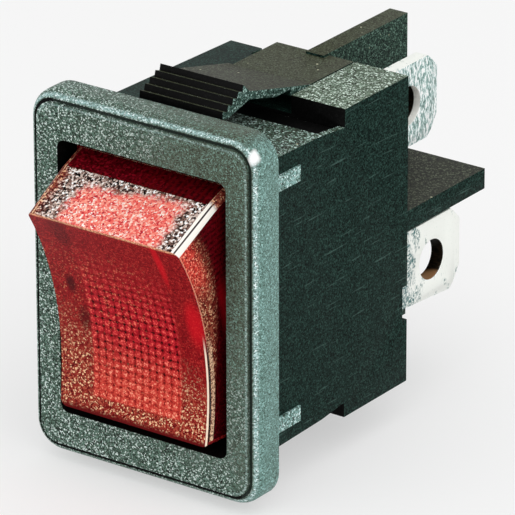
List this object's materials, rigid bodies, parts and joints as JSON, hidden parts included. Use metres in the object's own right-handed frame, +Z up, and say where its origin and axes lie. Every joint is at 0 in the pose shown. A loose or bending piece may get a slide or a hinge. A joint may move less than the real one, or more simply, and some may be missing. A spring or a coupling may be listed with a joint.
{
  "type": "panel rocker switch",
  "caption": "Snap-in panel rocker switch with a lit red rocker in a black frame, inner see-saw contact and tab terminals with walls between them.",
  "frame": {"origin": "centre of the front frame's rear face, the plane that seats on the panel", "axes": "+X to the right seen from the front, +Y back through the panel towards the terminals, +Z up"},
  "size_m": [0.015, 0.0267, 0.0222],
  "materials": {
    "black_nylon": "fine spark-eroded texture",
    "red_lens": "translucent red, textured face",
    "pale_filter": "translucent, waffle pattern",
    "white_nylon": "moulded, satin",
    "lamp_glass": "clear",
    "nickel": "drawn wire",
    "resistor_body": "lacquered",
    "tinned_wire": "tinned",
    "spring_steel": "drawn wire",
    "bronze_strip": "rolled strip",
    "silver": "satin",
    "tinned_brass": "stamped and tin plated"
  },
  "bodies": {
    "frame": {"housing": "black_nylon", "fixed_contact": "silver", "load_terminal": "tinned_brass", "common_terminal": "tinned_brass", "lamp_terminal": "tinned_brass", "supply_spring": "spring_steel", "return_spring": "spring_steel"},
    "rocker_unit": {"rocker": "red_lens", "diffuser": "pale_filter", "lamp_holder": "white_nylon", "lamp_bulb": "lamp_glass", "lamp_electrodes": "nickel", "resistor": "resistor_body", "supply_lead": "tinned_wire", "bridge_lead": "tinned_wire", "return_lead": "tinned_wire", "plunger_spring": "spring_steel"},
    "plunger_unit": {"plunger": "white_nylon"},
    "seesaw_unit": {"seesaw": "bronze_strip", "moving_contact": "silver"}
  },
  "joints": [
    {"name": "rocker_tilt", "type": "hinge", "parent": "frame", "child": "rocker_unit", "pos_m": [0, 0.00041, 0], "axis": [1, 0, 0], "range_deg": [-24.8, 0], "deforming": ["supply_spring", "return_spring"]},
    {"name": "seesaw_tilt", "type": "hinge", "parent": "frame", "child": "seesaw_unit", "pos_m": [0.0032, 0.00774, 0], "axis": [1, 0, 0], "range_deg": [0, 12]},
    {"name": "plunger_slide", "type": "slide", "parent": "rocker_unit", "child": "plunger_unit", "axis": [0, -0.9767, -0.2147], "range_m": [0, 0.0004], "stiffness_N_per_m": 800, "deforming": ["plunger_spring"]}
  ],
  "couplings": [
    {"joint": "seesaw_tilt", "follows": "rocker_tilt", "ratio": -0.48387}
  ]
}
